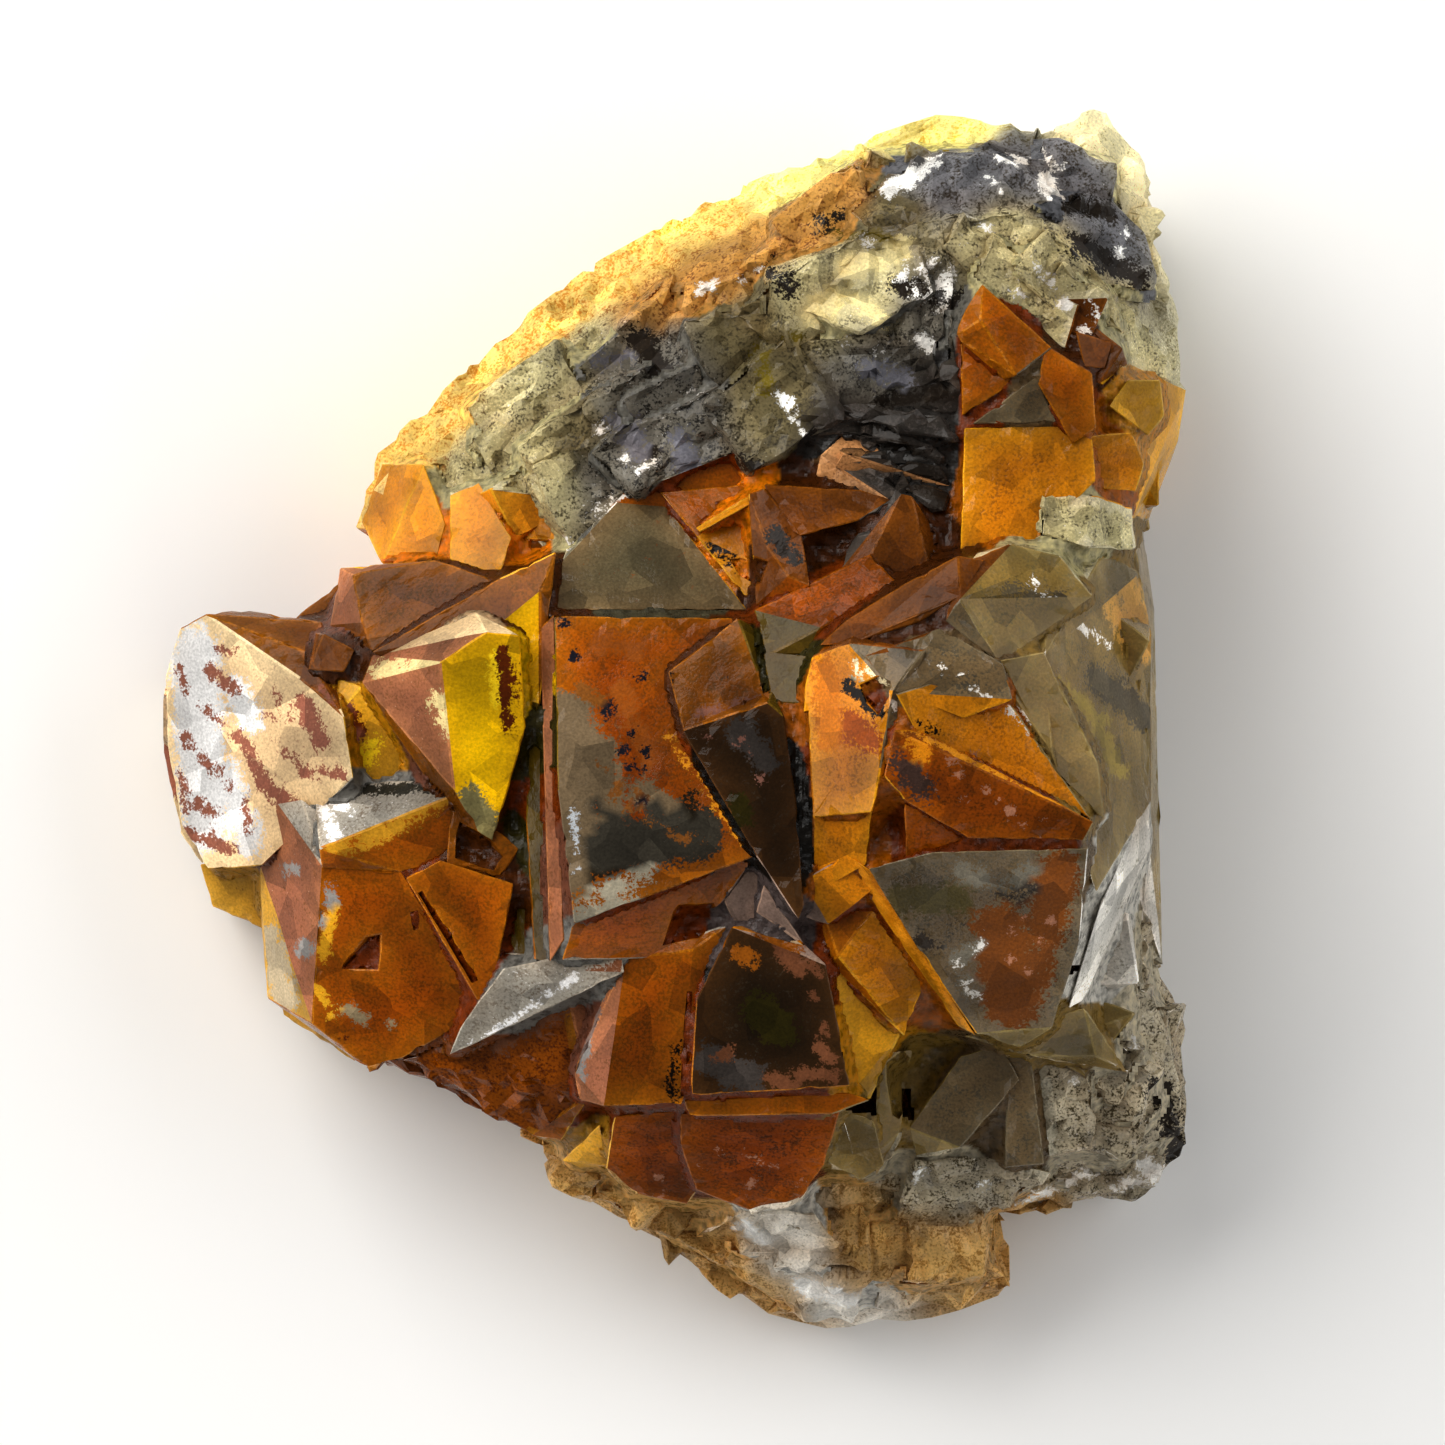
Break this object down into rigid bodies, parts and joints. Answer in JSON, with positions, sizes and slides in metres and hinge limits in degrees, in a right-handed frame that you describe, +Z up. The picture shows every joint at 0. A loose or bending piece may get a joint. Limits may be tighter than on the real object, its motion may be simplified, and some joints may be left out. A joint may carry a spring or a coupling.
{
  "type": "fluorite crystal cluster",
  "caption": "Fluorite hand specimen: intergrown amber, lemon and smoky cubic crystals with iron-oxide coats on a broken, glassy mass, cut flat at the back.",
  "frame": {"origin": "middle of the specimen's outline, on the flat plane it rests on", "axes": "+X across the specimen towards its broken right flank, +Y along it towards the massive end, +Z up out of the crystals"},
  "size_m": [0.0526, 0.0626, 0.0286],
  "materials": {
    "fluorite": "glossy"
  },
  "bodies": {
    "root": {"fluorite_cluster": "fluorite"}
  },
  "joints": []
}
